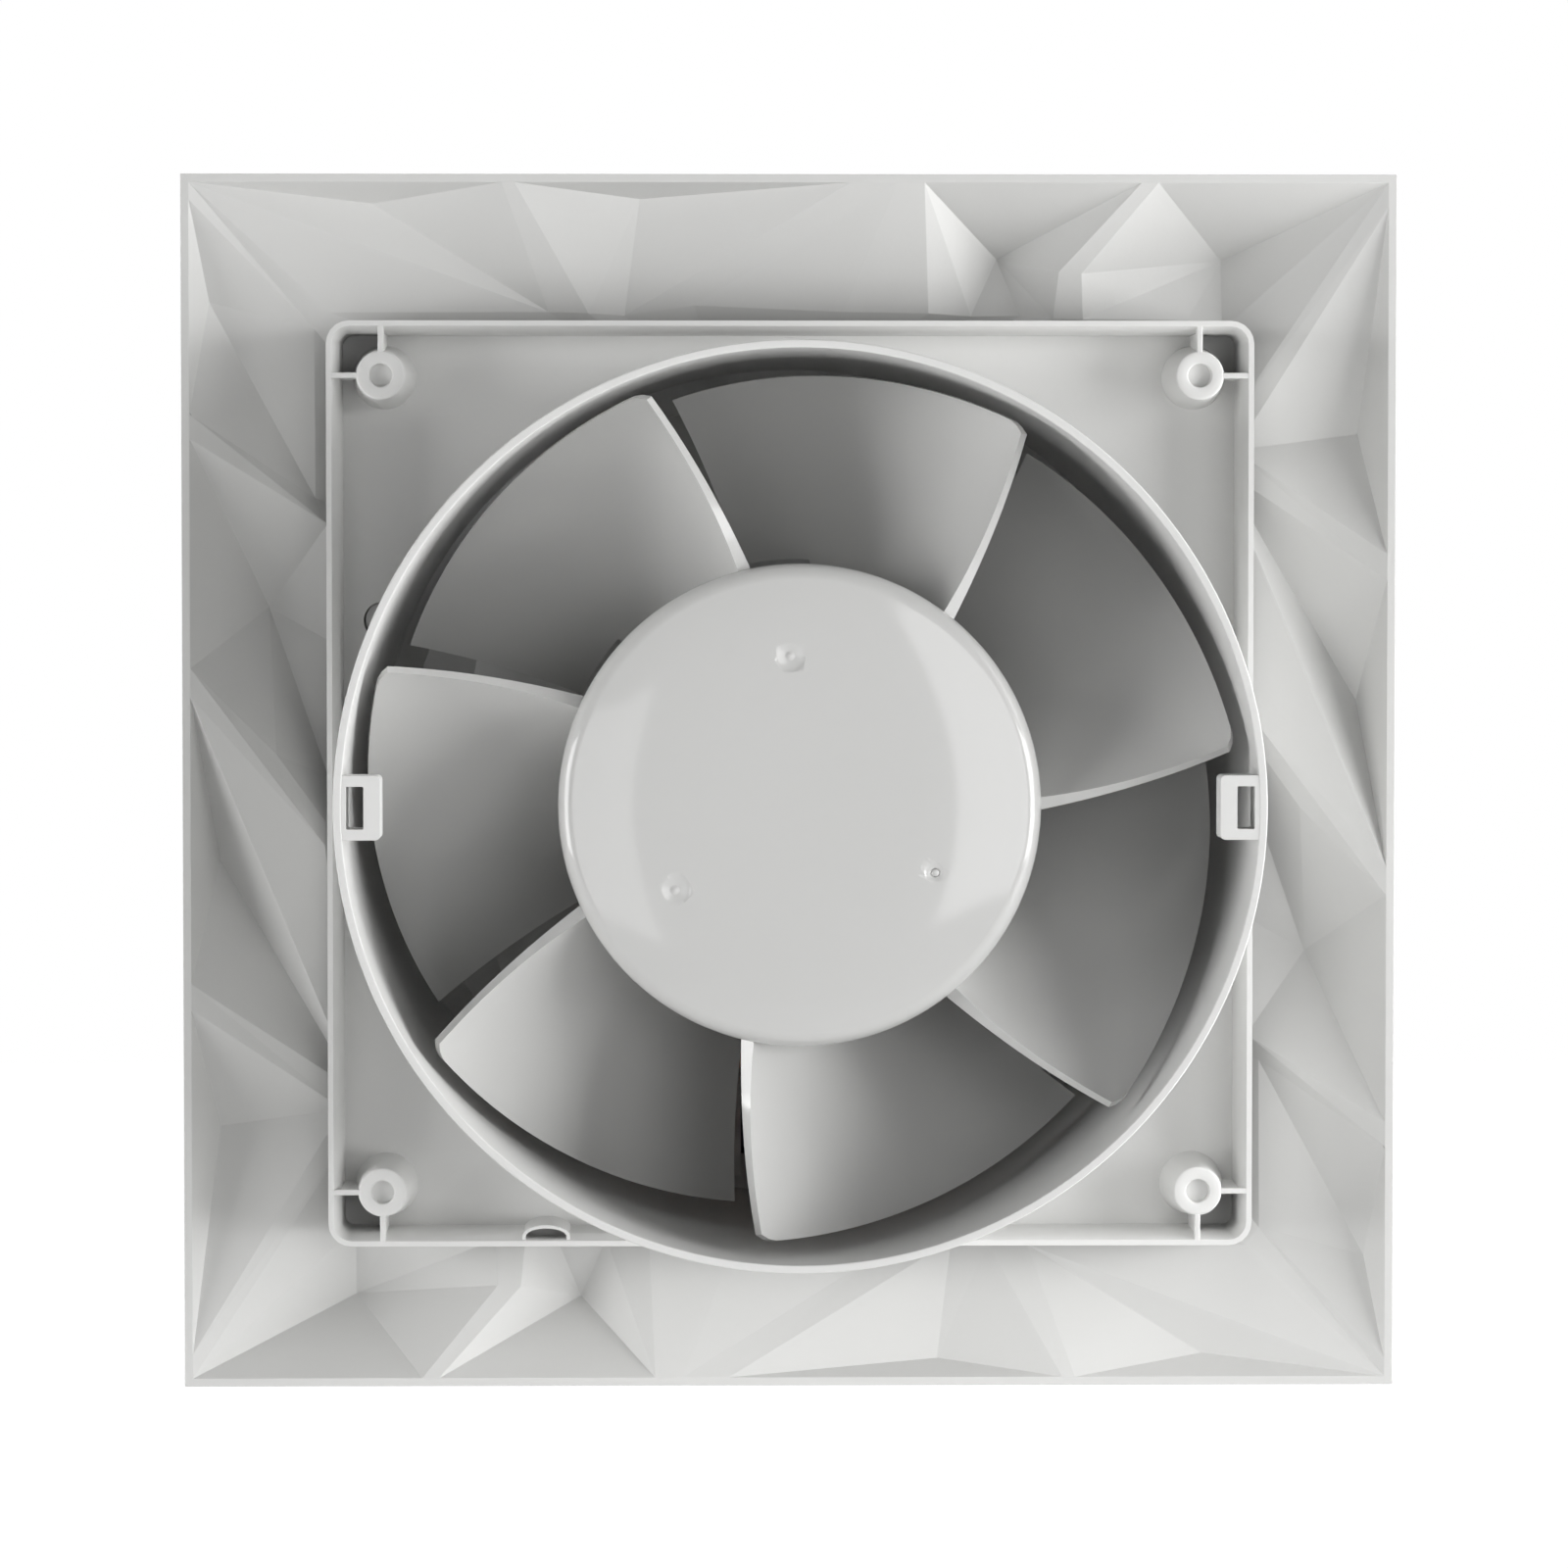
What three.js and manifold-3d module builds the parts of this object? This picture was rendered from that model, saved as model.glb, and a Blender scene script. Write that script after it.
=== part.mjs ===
// Wall extractor fan for a 125 mm round duct: square back tray with spigot, seven-blade impeller on a
// shaded-pole motor, and a faceted front cover. Millimetres, +Z up, +Y along the duct away from the room.
// Sub-parts are laid out with y = 0 on the wall plane and the duct axis on Y, then the whole group is
// shifted so that the origin is the middle of the bounding box.
import * as THREE from "three";
import { mergeVertices } from "three/addons/utils/BufferGeometryUtils.js";
import Module from "manifold-3d";

const wasm = await Module();
wasm.setup();

// ---- driving dimensions -------------------------------------------------------------------------
const TRAY = 136;
const TRAY_CORNER = 3.4;
const TRAY_WALL = 1.8;
const TRAY_DEPTH = 14;
const TRAY_FLOOR = 2;
const BOSS_SPACING = 120;
const BOSS_TOP_R = 3.55;
const BOSS_FOOT_R = 4.75;
const BOSS_HOLE_R = 1.7;
const GUSSET = 0.85;
const SPIGOT_R = 62.25;
const SPIGOT_WALL = 1.1;
const SPIGOT_END = 80;
const INLET_R = 57;
const LOOP_WIDE = 8.6;
const LOOP_REACH = 5.2;
const LOOP_LONG = 6.5;
const HUB_R = 32.5;
const HUB_FACE = 75;
const HUB_OPEN = 46;
const HUB_SKIN = 1.8;
const HUB_DOME = 0.9;
const HUB_EDGE = 2.4;
const BLADES = 7;
const BLADE_NEAR = 71;
const BLADE_DEEP = 35;
const BLADE_TIP_R = 59.3;
const BLADE_FAR_TIP_R = 58.0;
const BLADE_THICK = 1.3;
const COVER_SIDE = 180;
const COVER_BACK = -9.5;
const COVER_SKIN = 2.2;
const COVER_LIP = 1.2;
const COVER_DEEP = 24.3;
const SHAFT_R = 2.0;
const STACK_BACK = 25;
const STACK_FRONT = 7;
const SCREW_X = 21.5;
const FULL_DEPTH = SPIGOT_END - (COVER_BACK - COVER_DEEP - COVER_SKIN);
const MID_Y = SPIGOT_END - FULL_DEPTH / 2;

// ---- materials ----------------------------------------------------------------------------------
const matt = (color, roughness, metalness = 0) =>
  new THREE.MeshStandardMaterial({ color, roughness, metalness });
const PLASTIC = [0xe4e4e2, 0.45, 0];
const BLADE_PLASTIC = [0xdededc, 0.3, 0];
const STEEL = [0x8d9095, 0.35, 1];
const BRIGHT = [0xc9ccd0, 0.25, 1];
const LAMINATION = [0x54565a, 0.5, 0.9];
const COPPER = [0xb86a3c, 0.35, 1];
const CAST = [0xa9abae, 0.5, 1];
const BRONZE = [0xb08a4c, 0.4, 1];
const NYLON = [0xe9e6da, 0.5, 0];
const RUBBER = [0x2b2b2d, 0.8, 0];

// ---- solids -------------------------------------------------------------------------------------
function solid(geometry) {
  const bare = new THREE.BufferGeometry();
  const plain = geometry.index ? geometry.toNonIndexed() : geometry;
  bare.setAttribute("position", plain.getAttribute("position"));
  const merged = mergeVertices(bare, 1e-4);
  return new wasm.Manifold(
    new wasm.Mesh({
      numProp: 3,
      vertProperties: new Float32Array(merged.attributes.position.array),
      triVerts: new Uint32Array(merged.index.array),
    }),
  );
}

function box(x0, x1, y0, y1, z0, z1) {
  const g = new THREE.BoxGeometry(x1 - x0, y1 - y0, z1 - z0);
  g.translate((x0 + x1) / 2, (y0 + y1) / 2, (z0 + z1) / 2);
  return solid(g);
}

// A round bar along Y.
function rod(r0, r1, y0, y1, x, z, sides) {
  const g = new THREE.CylinderGeometry(r1, r0, y1 - y0, sides);
  g.translate(x, (y0 + y1) / 2, z);
  return solid(g);
}

// A closed profile of (radius, y) points turned about the Y axis.
function turned(points, sides) {
  const profile = points.map(([r, y]) => new THREE.Vector2(r, y));
  profile.push(profile[0].clone());
  const made = solid(new THREE.LatheGeometry(profile, sides));
  return made.volume() < 0 ? solid(flipped(new THREE.LatheGeometry(profile, sides))) : made;
}

function flipped(geometry) {
  const g = geometry.toNonIndexed();
  const p = g.getAttribute("position");
  for (let i = 0; i < p.count; i += 3) {
    const a = new THREE.Vector3().fromBufferAttribute(p, i + 1);
    const b = new THREE.Vector3().fromBufferAttribute(p, i + 2);
    p.setXYZ(i + 1, b.x, b.y, b.z);
    p.setXYZ(i + 2, a.x, a.y, a.z);
  }
  return g;
}

// A flat outline in (x, z), given thickness from y0 to y1.
function slab(shape, y0, y1, curve = 6) {
  const g = new THREE.ExtrudeGeometry(shape, { depth: y1 - y0, bevelEnabled: false, curveSegments: curve });
  g.rotateX(Math.PI / 2);
  g.translate(0, y1, 0);
  return solid(g);
}

function roundedSquare(side, r, cx = 0, cz = 0, tall = side) {
  const s = new THREE.Shape();
  const h = side / 2;
  const v = tall / 2;
  s.moveTo(cx - h + r, cz - v);
  s.lineTo(cx + h - r, cz - v);
  s.absarc(cx + h - r, cz - v + r, r, -Math.PI / 2, 0);
  s.lineTo(cx + h, cz + v - r);
  s.absarc(cx + h - r, cz + v - r, r, 0, Math.PI / 2);
  s.lineTo(cx - h + r, cz + v);
  s.absarc(cx - h + r, cz + v - r, r, Math.PI / 2, Math.PI);
  s.lineTo(cx - h, cz - v + r);
  s.absarc(cx - h + r, cz - v + r, r, Math.PI, 1.5 * Math.PI);
  return s;
}

const join = (parts) => parts.reduce((a, b) => a.add(b));
const cut = (body, tools) => tools.reduce((a, b) => a.subtract(b), body);
const turnY = (body, degrees) => body.rotate([0, degrees, 0]);

// ---- back tray, spigot and motor frame ----------------------------------------------------------
function tray() {
  const shell = slab(roundedSquare(TRAY, TRAY_CORNER), -TRAY_DEPTH, 0);
  const inner = roundedSquare(TRAY - 2 * TRAY_WALL, TRAY_CORNER - TRAY_WALL);
  return shell.subtract(slab(inner, TRAY_FLOOR - TRAY_DEPTH, 1));
}

function spigot() {
  const r = SPIGOT_R - SPIGOT_WALL;
  return turned([[r, -12.5], [SPIGOT_R, -12.5], [SPIGOT_R, SPIGOT_END], [r, SPIGOT_END]], 80);
}

// A catch loop standing inside the spigot's mouth, for a shutter or grille.
function catchLoop(side) {
  const reach = SPIGOT_R - 0.5;
  const inner = SPIGOT_R - SPIGOT_WALL - LOOP_REACH;
  const outline = roundedSquare(reach - inner, 0.7, side * (reach + inner) / 2, 0, LOOP_WIDE);
  const window = roundedSquare(2.35, 0.3, side * (inner + 3.4), 0, LOOP_WIDE - 2.9);
  const y0 = SPIGOT_END - LOOP_LONG;
  return slab(outline, y0, SPIGOT_END, 3).subtract(slab(window, y0 - 1, SPIGOT_END + 1, 2));
}

// A screw boss with two gussets to the nearest tray walls.
function boss(sx, sz) {
  const at = BOSS_SPACING / 2;
  const wall = TRAY / 2 - 1;
  const x = sx * at;
  const z = sz * at;
  const g = GUSSET / 2;
  return join([
    rod(BOSS_FOOT_R, BOSS_TOP_R, -12.5, 0, x, z, 32),
    box(Math.min(x, sx * wall), Math.max(x, sx * wall), -12.5, 0, z - g, z + g),
    box(x - g, x + g, -12.5, 0, Math.min(z, sz * wall), Math.max(z, sz * wall)),
  ]);
}

function bossHoles(sx, sz) {
  const x = (sx * BOSS_SPACING) / 2;
  const z = (sz * BOSS_SPACING) / 2;
  return [rod(BOSS_HOLE_R, BOSS_HOLE_R, -16, 1, x, z, 20), rod(3.5, 3.5, -16, -10, x, z, 24)];
}

// One arm of the motor frame: a web in the plane of the tray floor with two flanges.
function frameArm() {
  return join([
    box(-9, 9, -14, -12, 20, INLET_R + 1.5),
    box(-9, -7.3, -12.5, -6, 20, INLET_R + 1.2),
    box(7.3, 9, -12.5, -6, 20, INLET_R + 1.2),
  ]);
}

function motorFrame() {
  const plate = turned([[9, -14], [27.5, -14], [27.5, -11.5], [9, -11.5]], 48);
  const arms = [0, 90, 180, 270].map((a) => turnY(frameArm(), a));
  const open = [
    rod(9, 9, -15, -11, 0, 0, 48),
    rod(24.5, 24.5, -11.5, -5, 0, 0, 48),
    rod(1.9, 1.9, -15, -11, SCREW_X, 0, 16),
    rod(1.9, 1.9, -15, -11, -SCREW_X, 0, 16),
    box(1.5, 7.2, -15, -11, -55.4, -46.6),
  ];
  return cut(join([plate, ...arms]), open);
}

const POSTS = [[60.5, 24], [-60.5, 24], [60.5, -24], [-60.5, -24]];

function baseHousing() {
  const corners = [[1, 1], [1, -1], [-1, 1], [-1, -1]];
  const sockets = POSTS.map(([x, z]) => rod(4, 4, -18, -13, x, z, 24));
  const shell = cut(join([tray(), spigot(), ...sockets]), [rod(INLET_R, INLET_R, -15, -11, 0, 0, 80)]);
  const body = join([
    shell,
    motorFrame(),
    catchLoop(1),
    catchLoop(-1),
    ...corners.map(([a, b]) => boss(a, b)),
  ]);
  const notch = rod(3.1, 3.1, -3, 3, 0, 0, 24).rotate([90, 0, 0]).translate([36, 0, -67.5]);
  return cut(body, [
    ...corners.flatMap(([a, b]) => bossHoles(a, b)),
    ...POSTS.map(([x, z]) => rod(2.75, 2.75, -19, -13, x, z, 20)),
    rod(3.2, 3.2, -15, -11, 25.5, -60.9, 20),
    notch,
  ]);
}

// ---- impeller -----------------------------------------------------------------------------------
// The face falls away by HUB_DOME towards the edge, faster the further out.
function hubCup() {
  const domeY = (r) => HUB_FACE - HUB_DOME * (r / 30) ** 4;
  const face = [0, 10, 16, 20, 24, 27].map((r) => [r, domeY(r)]);
  const shoulder = domeY(HUB_R - HUB_EDGE);
  const edge = [];
  for (let i = 0; i <= 5; i++) {
    const a = (i / 5) * (Math.PI / 2);
    edge.push([HUB_R - HUB_EDGE + HUB_EDGE * Math.sin(a), shoulder - HUB_EDGE + HUB_EDGE * Math.cos(a)]);
  }
  const inner = HUB_R - HUB_SKIN;
  const roof = HUB_FACE - HUB_SKIN;
  return turned(
    [
      ...face,
      ...edge,
      [HUB_R, HUB_OPEN],
      [inner, HUB_OPEN],
      [inner, roof - 3],
      [inner - 2.2, roof - 0.8],
      [7, roof],
      [7, 56],
      [4.2, 56],
      [4.2, 71],
      [0, 71],
    ],
    56,
  );
}

// A point of the blade's middle surface; u runs from the rear edge forwards, v from hub to tip.
function bladePoint(u, v) {
  const degrees = 51.55 + 7.3 * v + u * (50.5 - 2.3 * v);
  const corner = u < 0.01 ? 1.0 : u < 0.05 ? 0.25 : 0;
  const tip = BLADE_TIP_R + (BLADE_FAR_TIP_R - BLADE_TIP_R) * u - corner;
  const root = HUB_R - 1;
  const r = root + (tip - root) * v;
  const a = (degrees * Math.PI) / 180;
  const y = BLADE_NEAR - BLADE_DEEP * (1.35 * u - 0.35 * u * u);
  return new THREE.Vector3(-r * Math.cos(a), y, r * Math.sin(a));
}

function bladeNormal(u, v) {
  const e = 1e-3;
  const along = bladePoint(u + e + 0.06, v).sub(bladePoint(u + 0.06, v));
  const out = bladePoint(u + 0.06, v + e).sub(bladePoint(u + 0.06, v));
  return along.cross(out).normalize();
}

function blade() {
  const us = [0, 0.03, 0.1, 0.2, 0.3, 0.4, 0.5, 0.6, 0.7, 0.8, 0.9, 1];
  const vs = [0, 0.33, 0.66, 1];
  const sheet = (sign) =>
    us.map((u) =>
      vs.map((v) => bladePoint(u, v).addScaledVector(bladeNormal(u, v), (sign * BLADE_THICK) / 2)),
    );
  const a = sheet(1);
  const b = sheet(-1);
  const tris = [];
  const quad = (p, q, r, s) => tris.push(p, q, r, p, r, s);
  const nu = us.length - 1;
  const nv = vs.length - 1;
  for (let i = 0; i < nu; i++)
    for (let j = 0; j < nv; j++) {
      quad(a[i][j], a[i + 1][j], a[i + 1][j + 1], a[i][j + 1]);
      quad(b[i][j], b[i][j + 1], b[i + 1][j + 1], b[i + 1][j]);
    }
  for (let i = 0; i < nu; i++) {
    quad(a[i][0], b[i][0], b[i + 1][0], a[i + 1][0]);
    quad(a[i][nv], a[i + 1][nv], b[i + 1][nv], b[i][nv]);
  }
  for (let j = 0; j < nv; j++) {
    quad(a[0][j], a[0][j + 1], b[0][j + 1], b[0][j]);
    quad(a[nu][j], b[nu][j], b[nu][j + 1], a[nu][j + 1]);
  }
  return outward(tris);
}

// A closed solid from loose triangles, turned to face out.
function outward(points) {
  const g = new THREE.BufferGeometry().setFromPoints(points);
  const made = solid(g);
  return made.volume() < 0 ? solid(flipped(g)) : made;
}

function impeller() {
  const clear = turned([[20, 30], [33.1, 30], [33.1, HUB_OPEN - 0.4], [20, HUB_OPEN - 0.4]], 56);
  const one = blade().subtract(clear);
  const blades = Array.from({ length: BLADES }, (_, i) => turnY(one, (360 / BLADES) * i));
  const ribs = Array.from({ length: 6 }, (_, i) => turnY(box(6.5, 29.5, 63, 74, -0.6, 0.6), 60 * i));
  const bore = rod(4.2, 4.2, 55, 71, 0, 0, 56);
  const dimples = [93.8, 213.8, 333.8].map((a) => {
    const t = (a * Math.PI) / 180;
    return rod(0.6, 2.1, HUB_FACE - 0.45, HUB_FACE - 0.15, -20.2 * Math.cos(t), 20.2 * Math.sin(t), 16);
  });
  return cut(join([hubCup(), ...blades, ...ribs]), [bore, ...dimples]);
}

// ---- faceted front cover ------------------------------------------------------------------------
// The relief repeats after half a turn about the duct axis, so half of it is laid out: x, z and the
// depth in front of the lip. Names: L on the lip, P pits beside the lip, N ridge and valley ends above
// the tray's edge, A the edge of the middle plateau.
const L = COVER_SIDE / 2 - COVER_LIP;
const RELIEF = {
  L0: [-L, -L, 0],
  L1: [-L, -86.2, 0],
  L2: [-L, -54.5, 0],
  L3: [-L, -50.9, 0],
  L4: [-L, -16.9, 0],
  L5: [-L, -12.7, 0],
  L6: [-L, 30.0, 0],
  L7: [-L, 33.8, 0],
  L8: [-L, 85.2, 0],
  L9: [-L, L, 0],
  L10: [-57.5, L, 0],
  L11: [-54.7, L, 0],
  L12: [-52.2, L, 0],
  L13: [-20.0, L, 0],
  L14: [-16.0, L, 0],
  L15: [-9.1, L, 0],
  L16: [40.7, L, 0],
  L17: [42.6, L, 0],
  P1: [-86.2, -71.2, 5],
  P2: [-78.0, -25.9, 13],
  P3: [-85.3, 11.9, 10],
  P4: [-85.2, 51.8, 8],
  P5: [-65.3, 78.0, 15.5],
  P6: [-31.3, 78.1, 13],
  P7: [22.2, 86.6, 5],
  P8: [61.9, 85.9, 5],
  N1: [-68.5, -69.8, 6.5],
  N2: [-70.8, -67.4, 8],
  N3: [-70.8, -42.2, 9.5],
  N4: [-69.0, -38.4, 9.5],
  N5: [-69.2, -20.9, 13],
  N6: [-69.1, -0.5, 11],
  N7: [-76.4, -4.0, 4.5],
  N8: [-69.2, 6.2, 6.5],
  N9: [-69.3, 9.6, 5.5],
  N10: [-64.9, 46.8, 9.5],
  N11: [-67.0, 49.4, 9],
  N12: [-66.2, 54.0, 9],
  N13: [-65.2, 67.5, 11.5],
  N14: [-60.0, 69.0, 11.5],
  N15: [-44.0, 69.0, 8],
  N16: [-43.6, 75.6, 5.2],
  N17: [-40.2, 75.8, 5.2],
  N18: [-39.5, 69.0, 8],
  N19: [-34.8, 69.6, 11.5],
  N20: [-27.4, 69.5, 11.5],
  N21: [-20.9, 69.8, 8],
  N22: [-8.2, 70.0, 8],
  N23: [14.2, 71.0, 9],
  N24: [24.5, 69.5, 9.5],
  N25: [29.9, 69.8, 8.5],
  N26: [35.9, 70.0, 8.5],
  A1: [-44, -34, COVER_DEEP],
  A2: [-52, 6, COVER_DEEP],
  A3: [-40, 40, COVER_DEEP],
  A4: [6, 50, COVER_DEEP],
};
// A name with a dash after it is the point half a turn round.
const FACETS = `
L0 L1 N2 N1 | L1 P1 N2 | L1 L2 P1 | P1 L2 N3 | P1 N3 N2 | L2 L3 N4 N3 | L3 P2 N4 | N4 P2 N5
L3 L4 P2 | P2 L4 N7 | P2 N7 N6 | P2 N6 N5 | L4 L5 N9 N7 | N7 N9 N8 | N7 N8 N6 | L5 P3 N10
L5 N10 N9 | L5 L6 P3 | P3 L6 N10 | L6 L7 N11 N10 | L7 P4 N11 | L7 L8 P4 | L8 N11 P4
L8 L9 N12 N11 | L9 P5 N13 | L9 N13 N12 | L9 L10 P5 | P5 N14 N13 | P5 L10 L11 N16 | P5 N16 N15 N14
L11 L12 N17 N16 | N16 N17 N18 N15 | L12 P6 N17 | P6 N19 N18 | P6 N18 N17 | L12 L13 P6 | P6 N20 N19
L13 N21 N20 | L13 N20 P6 | L13 L14 N22 N21 | L14 L15 N23 N22 | L15 P7 N24 | L15 N24 N23 | L15 L16 P7
P7 L16 N25 | P7 N25 N24 | L16 L17 N26 N25 | L17 P8 N26 | L17 L0- P8 | L0- N1- N26 | L0- N26 P8
N1 A4- A1 | N1 A1 N2 | N2 A1 N3 | N3 A1 N4 | N4 A1 N5 | N5 A1 A2 | N5 A2 N6 | N6 A2 N8 | N8 A2 N9
N9 A2 N10 | N10 A2 A3 | N10 A3 N11 | N11 A3 N12 | N12 A3 N13 | N13 A3 N14 | N14 A3 N15 | N15 A3 A4
N15 A4 N18 | N18 A4 N19 | N19 A4 N20 | N20 A4 N21 | N21 A4 N22 | N22 A4 N23 | N23 A4 N24 | N24 A4 N25
N25 A4 N26 | N26 A4 N1-
`;

function reliefPoint(name, half) {
  const turned180 = name.endsWith("-") !== half;
  const [x, z, deep] = RELIEF[name.replace("-", "")];
  return turned180 ? [-x, -z, deep] : [x, z, deep];
}

// Every triangle of the relief as three [x, z, depth] corners.
function reliefTriangles() {
  const tris = [];
  for (const half of [false, true])
    for (const facet of FACETS.split(/[|\n]/)) {
      const names = facet.trim().split(/\s+/).filter(Boolean);
      const pts = names.map((n) => reliefPoint(n, half));
      for (let i = 1; i + 1 < pts.length; i++) tris.push([pts[0], pts[i], pts[i + 1]]);
    }
  const plateau = [false, true].flatMap((h) => ["A1", "A2", "A3", "A4"].map((n) => reliefPoint(n, h)));
  for (let i = 1; i + 1 < plateau.length; i++) tris.push([plateau[0], plateau[i], plateau[i + 1]]);
  return tris.concat(lipTriangles());
}

// The flat lip between the relief and the cover's square outline.
function lipTriangles() {
  const ring = [];
  for (const half of [false, true])
    for (let i = 0; i <= 17; i++) ring.push(reliefPoint("L" + i, half));
  const h = COVER_SIDE / 2;
  const square = [[-h, -h, 0], [-h, h, 0], [h, h, 0], [h, -h, 0]];
  const flat = (pts) => pts.map(([x, z]) => new THREE.Vector2(x, z));
  const all = square.concat(ring);
  return THREE.ShapeUtils.triangulateShape(flat(square), [flat(ring)]).map((t) => t.map((i) => all[i]));
}

// The relief as a solid from its back surface, moved forwards by `back`, to a front at the given depth.
function reliefSolid(back, front) {
  const points = [];
  const at = ([x, z, deep], y) => new THREE.Vector3(x, y(deep), z);
  const rear = (deep) => COVER_BACK - deep - back;
  const face = front ? () => front : (deep) => COVER_BACK - deep - COVER_SKIN;
  for (const [p, q, r] of reliefTriangles()) {
    const area = (q[0] - p[0]) * (r[1] - p[1]) - (q[1] - p[1]) * (r[0] - p[0]);
    const [a, b, c] = area < 0 ? [p, q, r] : [p, r, q];
    points.push(at(a, rear), at(b, rear), at(c, rear), at(a, face), at(c, face), at(b, face));
  }
  const h = COVER_SIDE / 2;
  const square = [[-h, -h, 0], [-h, h, 0], [h, h, 0], [h, -h, 0]];
  square.forEach((p, i) => {
    const q = square[(i + 1) % 4];
    points.push(at(p, rear), at(p, face), at(q, face), at(p, rear), at(q, face), at(q, rear));
  });
  return outward(points);
}

// The shell with its four push-fit posts, which end inside the skin.
function frontCover() {
  const ahead = reliefSolid(COVER_SKIN / 2, -60);
  const posts = POSTS.map(([x, z]) => rod(2.5, 2.5, -45, -13.4, x, z, 20).subtract(ahead));
  return join([reliefSolid(0), ...posts]);
}

// ---- motor: laid out with the coil above the shaft, then turned half round ------------------------
function stack() {
  const block = box(-26, 26, STACK_FRONT - 5, STACK_BACK - 5, -17, 15);
  const legs = [1, -1].map((s) => box(s > 0 ? 18 : -26, s > 0 ? 26 : -18, 2, 20, 14, 33));
  return cut(join([block, ...legs]), [
    rod(11.1, 11.1, 0, 22, 0, 0, 48),
    box(-15.8, -13.7, 0, 22, -9.4, -6.2),
    box(13.7, 15.8, 0, 22, 6.2, 9.4),
    rod(1.9, 1.9, 0, 22, SCREW_X, 0, 16),
    rod(1.9, 1.9, 0, 22, -SCREW_X, 0, 16),
  ]);
}

function shadingRing(side) {
  const z = side * 7.8;
  const outer = box(14.1, 27.4, 0.7, 21.3, z - 1.2, z + 1.2);
  const ring = outer.subtract(box(15.4, 26.25, 1.75, 20.25, z - 2, z + 2));
  return side > 0 ? ring : ring.rotate([0, 0, 180]).translate([0, 22, 0]);
}

function bobbin() {
  const tube = box(-17, 17, 0.7, 21.3, 24.2, 34.3);
  const cheek = (x) => box(x - 0.75, x + 0.75, -5.5, 27.5, 17.6, 40.9);
  return cut(join([tube, cheek(16.6), cheek(-16.6)]), [box(-19, 19, 1.7, 20.3, 25.2, 33.3)]);
}

function winding() {
  const bundle = slab(roundedSquare(30, 4, 11, 29.2, 21.2), -15.4, 15.4, 5);
  return bundle.rotate([0, 0, 90]).subtract(box(-20, 20, 0.4, 21.6, 23.9, 34.6));
}

// A bearing bridge: a bar on two feet with a round housing for the bush.
function bridge(y0, y1, foot0, foot1, cup0, cup1) {
  return cut(
    join([
      box(-26, 26, y0, y1, -5.5, 5.5),
      box(17.5, 26, Math.min(y0, foot0), Math.max(y1, foot1), -5.5, 5.5),
      box(-26, -17.5, Math.min(y0, foot0), Math.max(y1, foot1), -5.5, 5.5),
      rod(8, 8, cup0, cup1, 0, 0, 32),
    ]),
    [
      rod(4.75, 4.75, cup0 - 1, cup1 + 1, 0, 0, 32),
      rod(1.9, 1.9, -20, 40, SCREW_X, 0, 16),
      rod(1.9, 1.9, -20, 40, -SCREW_X, 0, 16),
    ],
  );
}

const ringAt = (inner, outer, y0, y1, sides) =>
  turned([[inner, y0], [outer, y0], [outer, y1], [inner, y1]], sides);

function motorScrew(side) {
  const x = side * SCREW_X;
  const head = rod(3.2, 3.2, 30.2, 32.4, x, 0, 20).subtract(box(x - 2.2, x + 2.2, 31.5, 33, -0.4, 0.4));
  return join([head, rod(1.5, 1.5, -18.5, 31, x, 0, 16)]);
}

const nut = (side) =>
  rod(3.1, 3.1, -16.8, -14.3, side * SCREW_X, 0, 6).subtract(
    rod(1.65, 1.65, -18, -13, side * SCREW_X, 0, 16),
  );
const damper = (side) => ringAt(1.7, 3.6, -11.3, -8.2, 20).translate([side * SCREW_X, 0, 0]);

// ---- wiring on the room side of the tray ----------------------------------------------------------
function terminalBlock() {
  const body = box(31, 49, -22.3, -14.3, -58, -48.5);
  const wells = [35.5, 44.5].map((x) => rod(2.1, 2.1, -23, -17, x, -53.2, 16));
  const ports = [-56.3, -50.3].map((z) => box(30, 50, -20.9, -18.5, z - 1.1, z + 1.1));
  return cut(body, [...wells, ...ports]);
}

function terminalScrew(x) {
  const slot = box(x - 2, x + 2, -21.6, -20.9, -53.55, -52.85);
  return rod(1.8, 1.8, -21.4, -17.3, x, -53.2, 16).subtract(slot);
}

function lead(points) {
  const path = new THREE.CatmullRomCurve3(points.map(([x, y, z]) => new THREE.Vector3(x, y, z)));
  const round = new THREE.Shape();
  round.absarc(0, 0, 0.7, 0, 2 * Math.PI);
  const g = new THREE.ExtrudeGeometry(round, { steps: 18, extrudePath: path, curveSegments: 4 });
  return solid(g);
}

const LIVE_PATH = [
  [3, -7, -24], [3, -9.4, -34], [3, -9.8, -46], [3.2, -12.6, -51],
  [5, -15.4, -53], [9, -17, -55], [20, -18, -56.4], [33, -19.7, -56.3],
];
const NEUTRAL_PATH = [
  [5.6, -7, -24], [5.6, -9.4, -34], [5.6, -9.8, -45], [5.4, -12.6, -49.5],
  [5.8, -15.6, -50.8], [10, -17.2, -50.8], [20, -18, -50.6], [33, -19.7, -50.3],
];

// ---- the assembly -------------------------------------------------------------------------------
const fan = new THREE.Group();
fan.name = "extractor_fan";
fan.position.y = -MID_Y;

function add(name, body, look) {
  const m = body.getMesh();
  const g = new THREE.BufferGeometry();
  g.setAttribute("position", new THREE.BufferAttribute(new Float32Array(m.vertProperties), 3));
  g.setIndex(new THREE.BufferAttribute(new Uint32Array(m.triVerts), 1));
  const mesh = new THREE.Mesh(g, matt(...look));
  mesh.name = name;
  mesh.geometry.computeVertexNormals();
  fan.add(mesh);
}

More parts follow.
